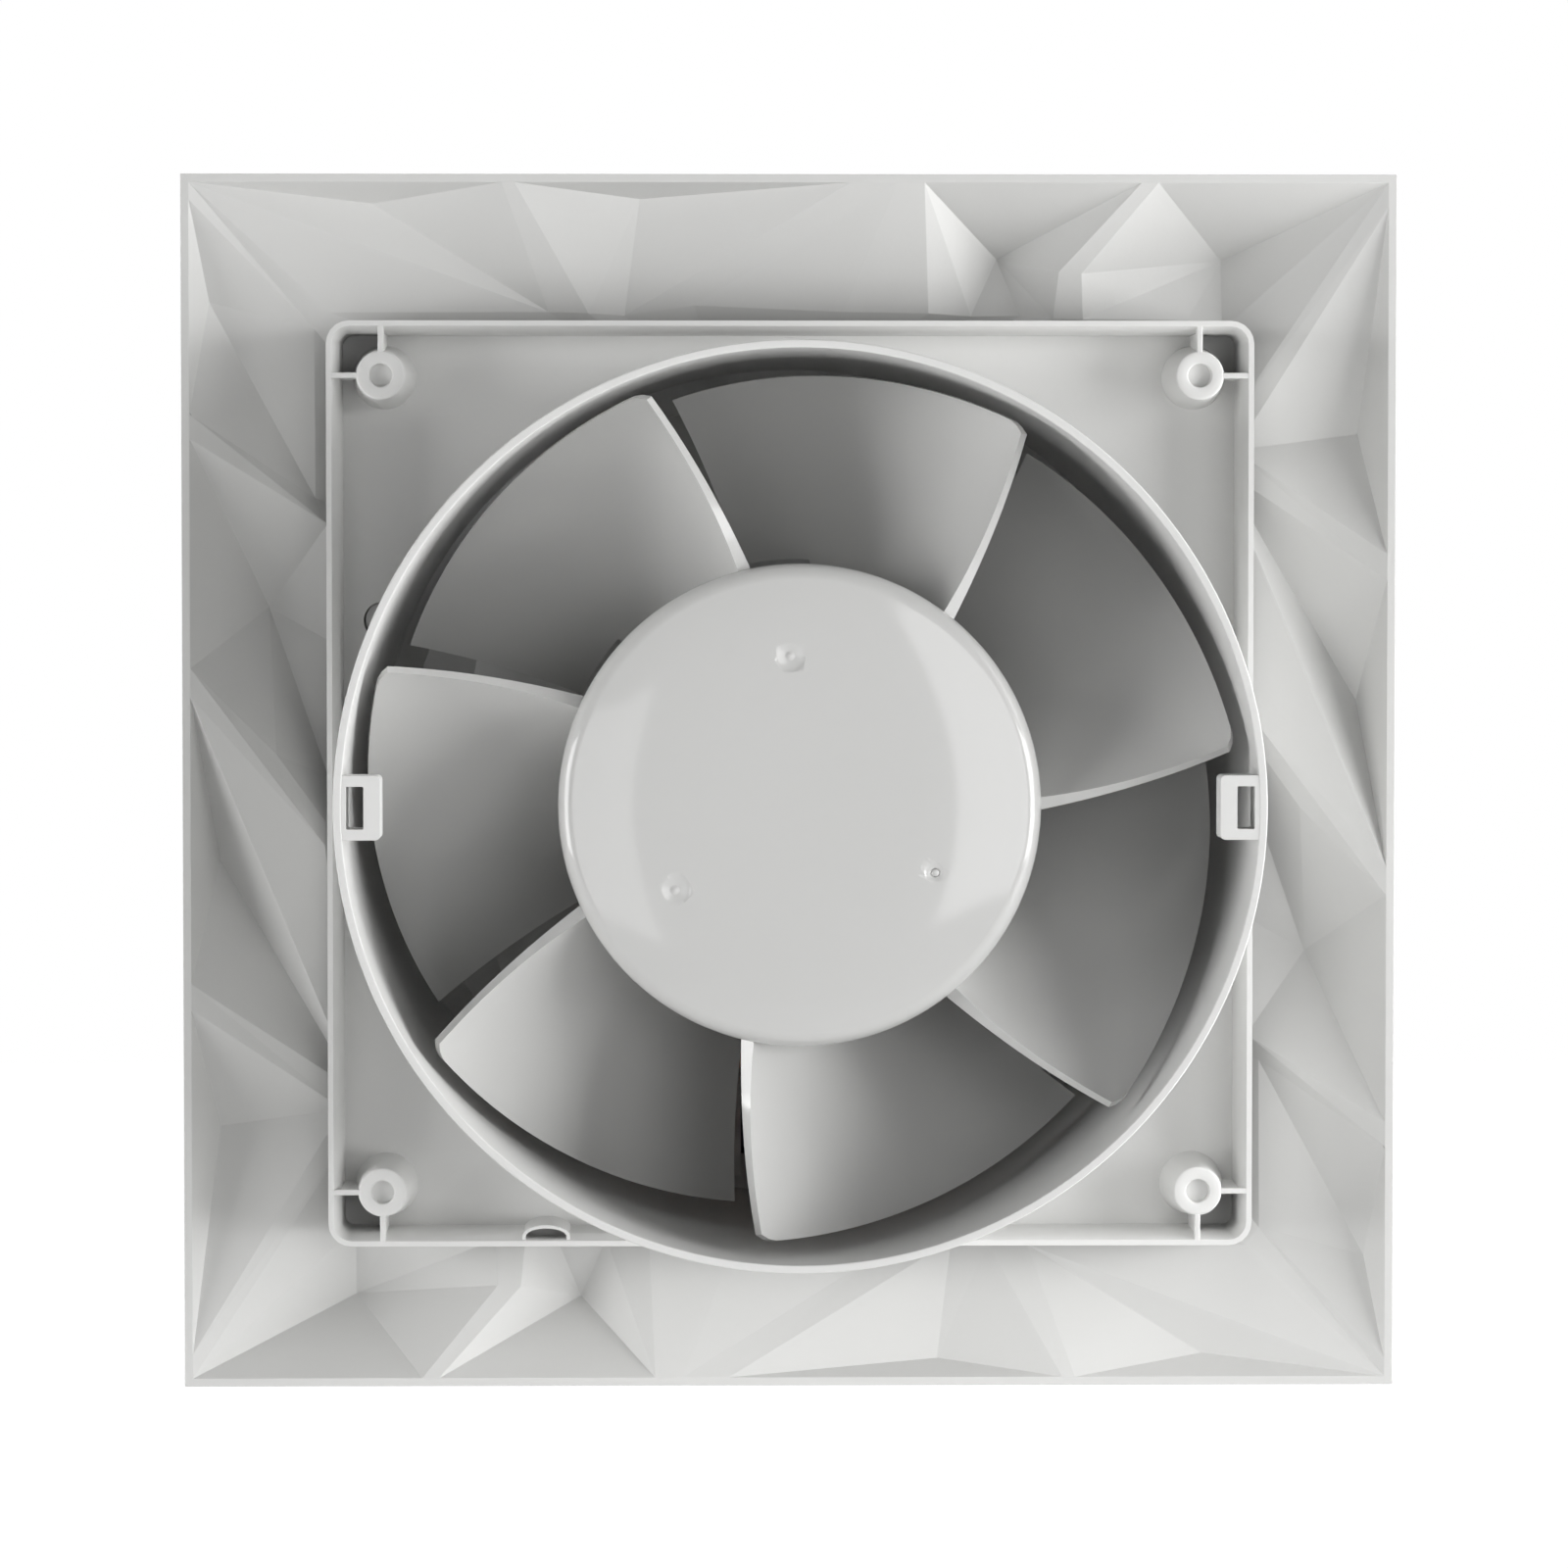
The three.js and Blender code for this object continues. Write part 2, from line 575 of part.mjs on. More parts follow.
const motor = (body) => turnY(body, 180);
add("base_housing", baseHousing(), PLASTIC);
add("front_cover", frontCover(), PLASTIC);
add("impeller", impeller(), BLADE_PLASTIC);
add("impeller_insert", ringAt(2.2, 3.9, 56.5, 70.3, 24), BRIGHT);
add("shaft", rod(SHAFT_R, SHAFT_R, -8.8, 70, 0, 0, 24), BRIGHT);
add("rotor_core", ringAt(2.3, 10.5, 3, 19, 40), LAMINATION);
add("washer_front", ringAt(2.2, 4.2, 0.6, 1.4, 24), NYLON);
add("washer_rear", ringAt(2.2, 4.2, 20.4, 21.2, 24), NYLON);
add("stator_stack", motor(stack()), LAMINATION);
add("coil_core", motor(box(-17.8, 17.8, 2, 20, 25.5, 33)), LAMINATION);
add("coil_bobbin", motor(bobbin()), NYLON);
add("coil_winding", motor(winding()), COPPER);
add("shading_ring_a", motor(shadingRing(1)), COPPER);
add("shading_ring_b", motor(shadingRing(-1)), COPPER);
add("bearing_bridge_front", motor(bridge(-8, -4.6, -8, 1.7, -8, 0.2)), CAST);
add("bearing_bridge_rear", motor(bridge(26.6, 30, 20.3, 30, 21.8, 33)), CAST);
add("bush_front", ringAt(2.06, 4.6, -7.6, 0, 32), BRONZE);
add("bush_rear", ringAt(2.06, 4.6, 22, 32.6, 32), BRONZE);
add("motor_screw_left", motorScrew(1), STEEL);
add("motor_screw_right", motorScrew(-1), STEEL);
add("motor_nut_left", nut(1), STEEL);
add("motor_nut_right", nut(-1), STEEL);
add("damper_left", damper(1), RUBBER);
add("damper_right", damper(-1), RUBBER);
add("terminal_block", terminalBlock(), NYLON);
add("terminal_screw_live", terminalScrew(35.5), BRIGHT);
add("terminal_screw_neutral", terminalScrew(44.5), BRIGHT);
add("lead_live", lead(LIVE_PATH), [0x6b3a22, 0.6, 0]);
add("lead_neutral", lead(NEUTRAL_PATH), [0x2c4c8c, 0.6, 0]);

export default fan;
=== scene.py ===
"""Looks for the wall extractor fan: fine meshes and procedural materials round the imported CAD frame.

Lengths in the shape functions are millimetres in the CAD layout: y runs along the duct from the wall
plane at 0, z is up, and x = z = 0 is the duct's centre line.
"""

import math

import bmesh
import bpy
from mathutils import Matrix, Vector


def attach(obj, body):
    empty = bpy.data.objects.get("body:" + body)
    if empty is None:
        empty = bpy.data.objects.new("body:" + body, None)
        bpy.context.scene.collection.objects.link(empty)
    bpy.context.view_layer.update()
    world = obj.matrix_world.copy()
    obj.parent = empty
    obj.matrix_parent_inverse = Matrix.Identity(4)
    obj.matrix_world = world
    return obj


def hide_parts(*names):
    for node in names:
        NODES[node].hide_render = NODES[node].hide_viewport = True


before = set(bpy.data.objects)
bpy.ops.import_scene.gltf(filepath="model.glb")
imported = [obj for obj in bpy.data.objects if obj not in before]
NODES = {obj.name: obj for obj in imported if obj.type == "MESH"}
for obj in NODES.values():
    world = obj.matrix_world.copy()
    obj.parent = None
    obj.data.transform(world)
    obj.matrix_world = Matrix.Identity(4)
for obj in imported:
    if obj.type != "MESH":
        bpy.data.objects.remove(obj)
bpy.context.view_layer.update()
WALL_Y = -22.0


def at(x, y, z):
    """A CAD layout point in the row frame, in metres."""
    return Vector((x, y + WALL_Y, z)) / 1000


# ---- materials ----------------------------------------------------------------------------------
BROAD_SCALE = 14
GLOSS_SPREAD = 0.06
COAT_ROUGH = 0.07
GRAIN_HEIGHT = 0.0002
GROOVE_HEIGHT = 0.0003


def noise(m, scale, detail):
    """A noise fixed to the object, as a grey value."""
    place = m.node_tree.nodes.new("ShaderNodeTexCoord")
    texture = m.node_tree.nodes.new("ShaderNodeTexNoise")
    texture.inputs["Scale"].default_value = scale
    texture.inputs["Detail"].default_value = detail
    m.node_tree.links.new(place.outputs["Object"], texture.inputs["Vector"])
    return texture.outputs["Fac"]


def ranged(m, value, low, high):
    """The grey value spread from low to high."""
    ramp = m.node_tree.nodes.new("ShaderNodeMapRange")
    ramp.inputs["To Min"].default_value = low
    ramp.inputs["To Max"].default_value = high
    m.node_tree.links.new(value, ramp.inputs["Value"])
    return ramp.outputs["Result"]


def tinted(m, colour, value):
    """The colour multiplied by the grey value."""
    tint = m.node_tree.nodes.new("ShaderNodeMix")
    tint.data_type = "RGBA"
    tint.blend_type = "MULTIPLY"
    tint.inputs["Factor"].default_value = 1
    tint.inputs["A"].default_value = (*colour, 1)
    m.node_tree.links.new(value, tint.inputs["B"])
    return tint.outputs["Result"]


def relief(m, height, strength, distance):
    """Raises the surface by the grey value."""
    bump = m.node_tree.nodes.new("ShaderNodeBump")
    bump.inputs["Strength"].default_value = strength
    bump.inputs["Distance"].default_value = distance
    m.node_tree.links.new(height, bump.inputs["Height"])
    m.node_tree.links.new(bump.outputs["Normal"], m.node_tree.nodes["Principled BSDF"].inputs["Normal"])


def surface(name, colour, rough, metal, spread=0.03, coat=0.0):
    """A surface whose colour and roughness vary slowly over the piece."""
    m = bpy.data.materials.new(name)
    m.use_nodes = True
    bsdf = m.node_tree.nodes["Principled BSDF"]
    bsdf.inputs["Metallic"].default_value = metal
    if coat:
        bsdf.inputs["Coat Weight"].default_value = coat
        bsdf.inputs["Coat Roughness"].default_value = COAT_ROUGH
    broad = noise(m, BROAD_SCALE, 2)
    shade = ranged(m, broad, 1 - spread, 1 + spread * 0.4)
    gloss = ranged(m, broad, rough - GLOSS_SPREAD, rough + GLOSS_SPREAD)
    m.node_tree.links.new(tinted(m, colour, shade), bsdf.inputs["Base Color"])
    m.node_tree.links.new(gloss, bsdf.inputs["Roughness"])
    return m


def moulded(name, colour, rough, metal=0.0, grain=900.0, bump=0.02, spread=0.03, coat=0.0):
    """A moulded, ground or cast surface with a fine grain."""
    m = surface(name, colour, rough, metal, spread, coat)
    relief(m, noise(m, grain, 4), bump, GRAIN_HEIGHT)
    return m


def stacked(name, colour, rough, metal, pitch, depth):
    """Sheets stacked along Y: a fine groove at each pitch, in millimetres."""
    m = surface(name, colour, rough, metal)
    nodes, links = m.node_tree.nodes, m.node_tree.links
    place = nodes.new("ShaderNodeTexCoord")
    parts = nodes.new("ShaderNodeSeparateXYZ")
    turns = nodes.new("ShaderNodeMath")
    turns.operation = "MULTIPLY"
    turns.inputs[1].default_value = 2 * math.pi * 1000 / pitch
    wave = nodes.new("ShaderNodeMath")
    wave.operation = "SINE"
    links.new(place.outputs["Object"], parts.inputs["Vector"])
    links.new(parts.outputs["Y"], turns.inputs[0])
    links.new(turns.outputs[0], wave.inputs[0])
    relief(m, wave.outputs[0], depth, GROOVE_HEIGHT)
    return m


HOUSING = moulded("white_housing", (0.72, 0.72, 0.71), 0.6, bump=0.06, spread=0.02)
COVER = moulded("white_cover", (0.63, 0.63, 0.62), 0.6, bump=0.08, spread=0.02)
BLADES = moulded("white_impeller", (0.6, 0.6, 0.59), 0.45, bump=0.03, spread=0.02, coat=1.0)
GROUND = moulded("ground_steel", (0.62, 0.63, 0.65), 0.25, 1, grain=2500, bump=0.05)
ZINC = moulded("zinc_steel", (0.55, 0.56, 0.58), 0.35, 1, grain=1500, bump=0.1)
NICKEL = moulded("terminal_metal", (0.7, 0.7, 0.7), 0.3, 1)
SHEETS = stacked("laminated_steel", (0.25, 0.26, 0.28), 0.45, 0.9, 0.5, 0.5)
COPPER = moulded("copper", (0.72, 0.33, 0.17), 0.32, 1, bump=0.05)
CAST = moulded("cast_alloy", (0.6, 0.61, 0.62), 0.55, 1, grain=1200, bump=0.35)
BRONZE = moulded("bronze", (0.6, 0.44, 0.24), 0.5, 1, grain=3000, bump=0.3)
RUBBER = moulded("damper_rubber", (0.03, 0.03, 0.03), 0.75, bump=0.2)
NYLON = moulded("nylon", (0.8, 0.77, 0.68), 0.5, bump=0.08)
LIVE = moulded("live_insulation", (0.2, 0.08, 0.04), 0.5)
NEUTRAL = moulded("neutral_insulation", (0.04, 0.1, 0.35), 0.5)


# ---- mesh helpers -------------------------------------------------------------------------------
def fillet(corners, steps=5):
    """A closed outline of (a, b, radius) corners, with each corner rounded to its radius."""
    out = []
    for i, (a, b, r) in enumerate(corners):
        p = Vector((a, b))
        if not r:
            out.append(p)
            continue
        before = (Vector(corners[i - 1][:2]) - p).normalized()
        after = (Vector(corners[(i + 1) % len(corners)][:2]) - p).normalized()
        half = before.angle(after) / 2
        middle = p + (before + after).normalized() * (r / math.sin(half))
        first = p + before * (r / math.tan(half)) - middle
        last = p + after * (r / math.tan(half)) - middle
        for k in range(steps + 1):
            out.append(middle + first.slerp(last, k / steps) * r)
    return [(q.x, q.y) for q in out]


def rounded_box(cx, cz, wide, tall, r):
    """A rounded rectangle outline in (x, z)."""
    h, v = wide / 2, tall / 2
    signs = [(-1, -1), (1, -1), (1, 1), (-1, 1)]
    return fillet([(cx + a * h, cz + b * v, r) for a, b in signs])


def turned(outline, angle):
    """An (x, z) outline turned about the duct's centre line."""
    c, s = math.cos(angle), math.sin(angle)
    return [(x * c - z * s, x * s + z * c) for x, z in outline]


def lathe(bm, profile, sides=160, x=0.0, z=0.0):
    """A closed (radius, y) profile turned about a line along Y through (x, z)."""
    rings = []
    for r, y in profile:
        if r < 1e-6:
            rings.append([bm.verts.new(at(x, y, z))] * sides)
            continue
        turn = [2 * math.pi * k / sides for k in range(sides)]
        rings.append([bm.verts.new(at(x + r * math.cos(t), y, z + r * math.sin(t))) for t in turn])
    for i, ring in enumerate(rings):
        after = rings[(i + 1) % len(rings)]
        for k in range(sides):
            n = (k + 1) % sides
            face = list(dict.fromkeys([ring[k], ring[n], after[n], after[k]]))
            if len(face) > 2:
                bm.faces.new(face)


def prism(bm, outline, y0, y1, far=None):
    """An (x, z) outline given thickness along Y, tapering to the far outline if there is one."""
    low = [bm.verts.new(at(x, y0, z)) for x, z in outline]
    high = [bm.verts.new(at(x, y1, z)) for x, z in far or outline]
    bm.faces.new(low)
    bm.faces.new(high)
    for i in range(len(outline)):
        n = (i + 1) % len(outline)
        bm.faces.new([low[i], low[n], high[n], high[i]])


def block(bm, x0, x1, y0, y1, z0, z1):
    """A box between two places on each axis."""
    prism(bm, [(x0, z0), (x1, z0), (x1, z1), (x0, z1)], y0, y1)


def rod(bm, r, y0, y1, x=0.0, z=0.0, sides=48):
    """A cylinder along Y through (x, z)."""
    lathe(bm, [(0, y0), (r, y0), (r, y1), (0, y1)], sides, x, z)


def solid(build):
    """A loose object from a function that fills a bmesh."""
    bm = bmesh.new()
    build(bm)
    bmesh.ops.recalc_face_normals(bm, faces=bm.faces)
    data = bpy.data.meshes.new("tool")
    bm.to_mesh(data)
    bm.free()
    obj = bpy.data.objects.new("tool", data)
    bpy.context.scene.collection.objects.link(obj)
    return obj


def rods(r, y0, y1, places):
    """A loose object of equal rods, one at each (x, z) place."""
    return solid(lambda bm: [rod(bm, r, y0, y1, x, z) for x, z in places])


def combine(base, tools, operation):
    """Joins tools to base, or cuts them from it, and bakes the result."""
    for tool in tools:
        mod = base.modifiers.new("boolean", "BOOLEAN")
        mod.operation = operation
        mod.solver = "MANIFOLD"
        mod.object = tool
    bpy.context.view_layer.update()
    dg = bpy.context.evaluated_depsgraph_get()
    baked = bpy.data.meshes.new_from_object(base.evaluated_get(dg))
    base.modifiers.clear()
    base.data = baked
    for tool in tools:
        bpy.data.objects.remove(tool)
    return base


def soften(obj, width, angle=35, segments=2, smooth=True):
    """Rounds the edges sharper than the angle and smooths the shading between them."""
    for polygon in obj.data.polygons:
        polygon.use_smooth = smooth
    if width:
        mod = obj.modifiers.new("edges", "BEVEL")
        mod.width = width / 1000
        mod.segments = segments
        mod.limit_method = "ANGLE"
        mod.angle_limit = math.radians(angle)
        mod.use_clamp_overlap = True
    if smooth:
        mod = obj.modifiers.new("normals", "WEIGHTED_NORMAL")
        mod.keep_sharp = True


def finish_piece(obj, name, look, body, node):
    """Names the piece, paints it, and seats it on its body in place of the CAD node."""
    obj.name = name
    obj.data.materials.clear()
    obj.data.materials.append(look)
    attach(obj, body)
    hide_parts(node)


def housing_piece(obj, name, width, angle=35, segments=2):
    """A piece of the base moulding."""
    finish_piece(obj, name, HOUSING, "housing", "base_housing")
    soften(obj, width, angle, segments)


def impeller_piece(obj, name, width, angle=35, segments=2):
    """A piece of the impeller moulding."""
    finish_piece(obj, name, BLADES, "rotor", "impeller")
    soften(obj, width, angle, segments)


# ---- base moulding ------------------------------------------------------------------------------
TRAY_SIDE, TRAY_CORNER, TRAY_WALL = 136, 3.4, 1.8
TRAY_FRONT, FLOOR_BACK = -14, -12
FOOT = FLOOR_BACK - 0.6
CAVITY_SIDE, CAVITY_CORNER = TRAY_SIDE - 2 * TRAY_WALL, TRAY_CORNER - TRAY_WALL
MOUTH_SIDE, MOUTH_CORNER, MOUTH_DEPTH = 134.6, 2.7, 2.2
OPENING_R = 57
SCREW_HOLE_R, SCREW_RECESS_R, RECESS_END = 1.7, 3.5, -10
POST_HOLE_R = 2.75
CABLE_HOLE_R, CABLE_HOLE_AT = 3.2, (25.5, -60.9)
POCKET_X, POCKET_BASE = 36, -66.6
SPIGOT_IN, SPIGOT_OUT, SPIGOT_END = 61.15, 62.25, 80
CORNERS = [(a, b) for a in (1, -1) for b in (1, -1)]
BOSS_AT = [(60 * a, 60 * b) for a, b in CORNERS]
POST_AT = [(60.5 * a, 24 * b) for a, b in CORNERS]


def arch(width, height):
    """An (x, z) outline of a round arch standing on the inner face of the lower tray wall."""
    half, below = width / 2, POCKET_BASE - 0.5
    curve = [math.pi * k / 20 for k in range(21)]
    top = [(POCKET_X + half * math.cos(t), POCKET_BASE + height * math.sin(t)) for t in curve]
    return [(POCKET_X + half, below)] + top + [(POCKET_X - half, below)]


def tray():
    """The square tray, with a rim that slopes inwards and a small round pocket in its lower wall."""
    outside = rounded_box(0, 0, TRAY_SIDE, TRAY_SIDE, TRAY_CORNER)
    inside = rounded_box(0, 0, CAVITY_SIDE, CAVITY_SIDE, CAVITY_CORNER)
    mouth = rounded_box(0, 0, MOUTH_SIDE, MOUTH_SIDE, MOUTH_CORNER)
    front = TRAY_FRONT - 1
    shell = solid(lambda bm: prism(bm, outside, TRAY_FRONT, 0))
    cuts = [
        solid(lambda bm: prism(bm, inside, FLOOR_BACK, 1)),
        solid(lambda bm: prism(bm, inside, -MOUTH_DEPTH, 0.2, mouth)),
        solid(lambda bm: rod(bm, OPENING_R, front, FLOOR_BACK + 1, sides=200)),
        rods(SCREW_RECESS_R, front, RECESS_END, BOSS_AT),
        rods(POST_HOLE_R, front, FLOOR_BACK + 1, POST_AT),
        rods(CABLE_HOLE_R, front, FLOOR_BACK + 1, [CABLE_HOLE_AT]),
    ]
    combine(shell, cuts, "DIFFERENCE")
    combine(shell, [solid(lambda bm: prism(bm, arch(7, 1.7), FLOOR_BACK - 0.5, -0.3))], "UNION")
    combine(shell, [solid(lambda bm: prism(bm, arch(6, 1.2), -7, 1))], "DIFFERENCE")
    housing_piece(shell, "tray_shell", 0.2)


def spigot():
    """The thin round tube that goes into the duct."""
    round_end = 0.2
    profile = fillet([
        (SPIGOT_IN, FOOT, 0), (SPIGOT_OUT, FOOT, 0),
        (SPIGOT_OUT, SPIGOT_END, round_end), (SPIGOT_IN, SPIGOT_END, round_end),
    ])
    housing_piece(solid(lambda bm: lathe(bm, profile, 240)), "spigot", 0)


def catch_loops():
    """Two square loops inside the spigot's end, each with a slot through it along the duct."""
    inner, outer, tall = 55.95, 61.8, 8.6
    front, back = 73.5, SPIGOT_END - 0.1
    slot_wide, slot_tall, slot_in = 2.35, 5.7, 3.4

    def frames(bm):
        for side in (1, -1):
            outline = rounded_box(side * (inner + outer) / 2, 0, outer - inner, tall, 0.7)
            prism(bm, outline, front, back)

    def slots(bm):
        for side in (1, -1):
            outline = rounded_box(side * (inner + slot_in), 0, slot_wide, slot_tall, 0.2)
            prism(bm, outline, front - 0.5, back + 1.1)

    housing_piece(combine(solid(frames), [solid(slots)], "DIFFERENCE"), "catch_loops", 0.25, segments=3)


def screw_bosses():
    """Four bosses on gussets, each hole closed by a thin web below its mouth."""
    top_r, foot_r, web_back, web_front = 3.55, 4.75, -1.4, -2.2
    gusset, gusset_start, gusset_end, gusset_top = 0.42, 2.6, 67.5, -0.05
    profile = fillet(
        [
            (0, web_back, 0), (SCREW_HOLE_R, web_back, 0.1), (SCREW_HOLE_R, 0, 0.25), (top_r, 0, 0.35),
            (foot_r, FOOT, 0), (SCREW_RECESS_R, FOOT, 0), (SCREW_RECESS_R, RECESS_END, 0),
            (SCREW_HOLE_R, RECESS_END, 0), (SCREW_HOLE_R, web_front, 0), (0, web_front, 0),
        ],
        3,
    )

    def fill(bm):
        for x, z in BOSS_AT:
            lathe(bm, profile, 64, x, z)
            a, b = math.copysign(1, x), math.copysign(1, z)
            across = sorted((x + a * gusset_start, a * gusset_end))
            along = sorted((z + b * gusset_start, b * gusset_end))
            block(bm, *across, FOOT, gusset_top, z - gusset, z + gusset)
            block(bm, x - gusset, x + gusset, FOOT, gusset_top, *along)

    housing_piece(solid(fill), "screw_bosses", 0.15, 50)


def motor_frame():
    """Four channel arms in the plane of the tray floor and the plate that carries the motor."""
    front, web_back, flange_front, flange_back = -13.9, -12.1, -12.4, -6
    half, flange, start, web_end, flange_end = 9, 1.7, 20, 58.4, 58.2
    plate_r, plate_back, clear_r, shaft_hole_r = 27.5, -11.5, 24.5, 9
    screw_r, screw_x = 1.9, 21.5
    cable_slot_x, cable_slot_z = (1.5, 7.2), (-55.4, -46.6)
    cut_start, cut_end = TRAY_FRONT - 1, -10
    bars = (
        (-half, half, front, web_back, web_end),
        (-half, flange - half, flange_front, flange_back, flange_end),
        (half - flange, half, flange_front, flange_back, flange_end),
    )

    def bar(bm, angle, x0, x1, y0, y1, end):
        prism(bm, turned([(x0, start), (x1, start), (x1, end), (x0, end)], angle), y0, y1)

    plate = solid(lambda bm: rod(bm, plate_r, front, plate_back, sides=96))
    joins = [solid(lambda bm: bar(bm, k * math.pi / 2, *b)) for k in range(4) for b in bars]
    combine(plate, joins, "UNION")
    cuts = [
        solid(lambda bm: rod(bm, shaft_hole_r, cut_start, cut_end, sides=64)),
        solid(lambda bm: rod(bm, clear_r, plate_back, flange_back + 1, sides=96)),
        rods(screw_r, cut_start, cut_end, [(screw_x, 0), (-screw_x, 0)]),
        solid(lambda bm: block(bm, *cable_slot_x, cut_start, FLOOR_BACK + 1, *cable_slot_z)),
    ]
    combine(plate, cuts, "DIFFERENCE")
    housing_piece(plate, "motor_frame", 0.2)


def cover_sockets():
    """Four round sockets on the tray's front that hold the cover's posts."""
    outer, front, back = 4, -18, -13
    corners = [(POST_HOLE_R, back, 0), (POST_HOLE_R, front, 0.3), (outer, front, 0.4), (outer, back, 0)]
    profile = fillet(corners, 3)
    housing_piece(solid(lambda bm: [lathe(bm, profile, 48, x, z) for x, z in POST_AT]), "cover_sockets", 0)


# ---- impeller -----------------------------------------------------------------------------------
HUB_R, HUB_IN, HUB_FACE, HUB_OPEN = 32.5, 30.7, 75.0, 46.0
DOME_DROP, DOME_R = 0.9, 30
MARK_AT, MARK_DEPTH = 20.2, 0.24
BLADE_COUNT, BLADE_NEAR, BLADE_DEEP, BLADE_THICK, ROOT_EXTRA = 7, 71.0, 35.0, 1.2, 0.9
BLADE_TIP, BLADE_FAR_TIP = 59.3, 58.0
BLADE_START, BLADE_LEAD, BLADE_SWEEP, SWEEP_LOSS = 51.55, 7.3, 50.5, 2.3
BLADE_CURVE, CORNER_SHARE = 0.35, 0.05


def hub_face(r):
    """The height of the hub's face, which falls away slightly towards its edge."""
    return HUB_FACE - DOME_DROP * (r / DOME_R) ** 4


def mark(degrees, size):
    """The tool for one moulding mark: a shallow dish with a nub at its middle."""
    t = math.radians(degrees)
    y = hub_face(MARK_AT)
    dish = [(0, y - 0.05), (0.35, y - 0.05), (0.6, y - MARK_DEPTH)]
    for share in (0.35, 0.55, 0.75, 1):
        r = share * size
        dish.append((r, y - MARK_DEPTH * (1 - (r / size) ** 2)))
    dish += [(size + 0.3, y + 0.3), (0, y + 0.3)]
    return solid(lambda bm: lathe(bm, dish, 48, -MARK_AT * math.cos(t), MARK_AT * math.sin(t)))


def hub():
    """The closed cup with its stem for the shaft, and three moulding marks on its face."""
    roof, edge = HUB_FACE - 1.8, HUB_FACE - 1.2
    stem_r, stem_end, bore_r, bore_end = 7, 56, 4.2, 71
    corners = [(r, hub_face(r), 0) for r in range(0, 29, 2)]
    corners += [
        (HUB_R, edge, 2.4), (HUB_R, HUB_OPEN, 0.4), (HUB_IN, HUB_OPEN, 0.4), (HUB_IN, roof - 1, 2),
        (stem_r, roof, 0.8), (stem_r, stem_end, 0.3), (bore_r, stem_end, 0.3),
        (bore_r, bore_end, 0), (0, bore_end, 0),
    ]
    cup = solid(lambda bm: lathe(bm, fillet(corners, 12), 200))
    combine(cup, [mark(93.8, 2.1), mark(213.8, 2.1), mark(333.8, 1.4)], "DIFFERENCE")
    impeller_piece(cup, "impeller_hub", 0)


def hub_ribs():
    """Six thin ribs from the stem to the cup's wall."""
    x0, x1, half, y0, y1 = 6.5, 30.9, 0.6, 63, 73.6
    outline = [(x0, -half), (x1, -half), (x1, half), (x0, half)]
    ribs = solid(lambda bm: [prism(bm, turned(outline, k * math.pi / 3), y0, y1) for k in range(6)])
    impeller_piece(ribs, "impeller_ribs", 0.2)


def blade_point(u, v):
    """The blade's middle surface; u runs from the rear edge forwards, v from hub to tip."""
    turn = math.radians(BLADE_START + BLADE_LEAD * v + u * (BLADE_SWEEP - SWEEP_LOSS * v))
    corner = max(0.0, 1 - u / CORNER_SHARE) ** 2
    tip = BLADE_TIP + (BLADE_FAR_TIP - BLADE_TIP) * u - corner
    r = HUB_R - 1 + (tip - HUB_R + 1) * v
    y = BLADE_NEAR - BLADE_DEEP * ((1 + BLADE_CURVE) * u - BLADE_CURVE * u * u)
    return Vector((-r * math.cos(turn), y, r * math.sin(turn)))


def blade_normal(u, v):
    """The middle surface's normal, taken a little inside the rear edge."""
    step, inset = 1e-3, 0.06
    here = blade_point(u + inset, v)
    along = blade_point(u + step + inset, v) - here
    out = blade_point(u + inset, v + step) - here
    return along.cross(out).normalized()


def blade(bm, angle, nu=48, nv=18):
    """One blade: two sheets a plate thickness apart, closed round the edge."""
    c, s = math.cos(angle), math.sin(angle)

    def vertex(u, v, side):
        thick = BLADE_THICK + ROOT_EXTRA * (1 - v) ** 3
        p = blade_point(u, v) + blade_normal(u, v) * thick * side
        return bm.verts.new(at(p.x * c + p.z * s, p.y, p.z * c - p.x * s))

    def sheet(side):
        return [[vertex(i / nu, j / nv, side) for j in range(nv + 1)] for i in range(nu + 1)]

    a, b = sheet(0.5), sheet(-0.5)
    for i in range(nu):
        for j in range(nv):
            for rows in (a, b):
                bm.faces.new([rows[i][j], rows[i + 1][j], rows[i + 1][j + 1], rows[i][j + 1]])
    for i in range(nu):
        for j in (0, nv):
            bm.faces.new([a[i][j], a[i + 1][j], b[i + 1][j], b[i][j]])
    for j in range(nv):
        for i in (0, nu):
            bm.faces.new([a[i][j], a[i][j + 1], b[i][j + 1], b[i][j]])


def blades():
    """Seven blades, cut away below the cup so that they clear the motor."""
    turn = 2 * math.pi / BLADE_COUNT
    fan = solid(lambda bm: [blade(bm, turn * k) for k in range(BLADE_COUNT)])
    inner, outer, front, back = 20, HUB_R + 0.6, 30, HUB_OPEN - 0.4
    ring = [(inner, front), (outer, front), (outer, back), (inner, back)]
    combine(fan, [solid(lambda bm: lathe(bm, ring, 200))], "DIFFERENCE")
    impeller_piece(fan, "impeller_blades", 0.35, 50, 3)


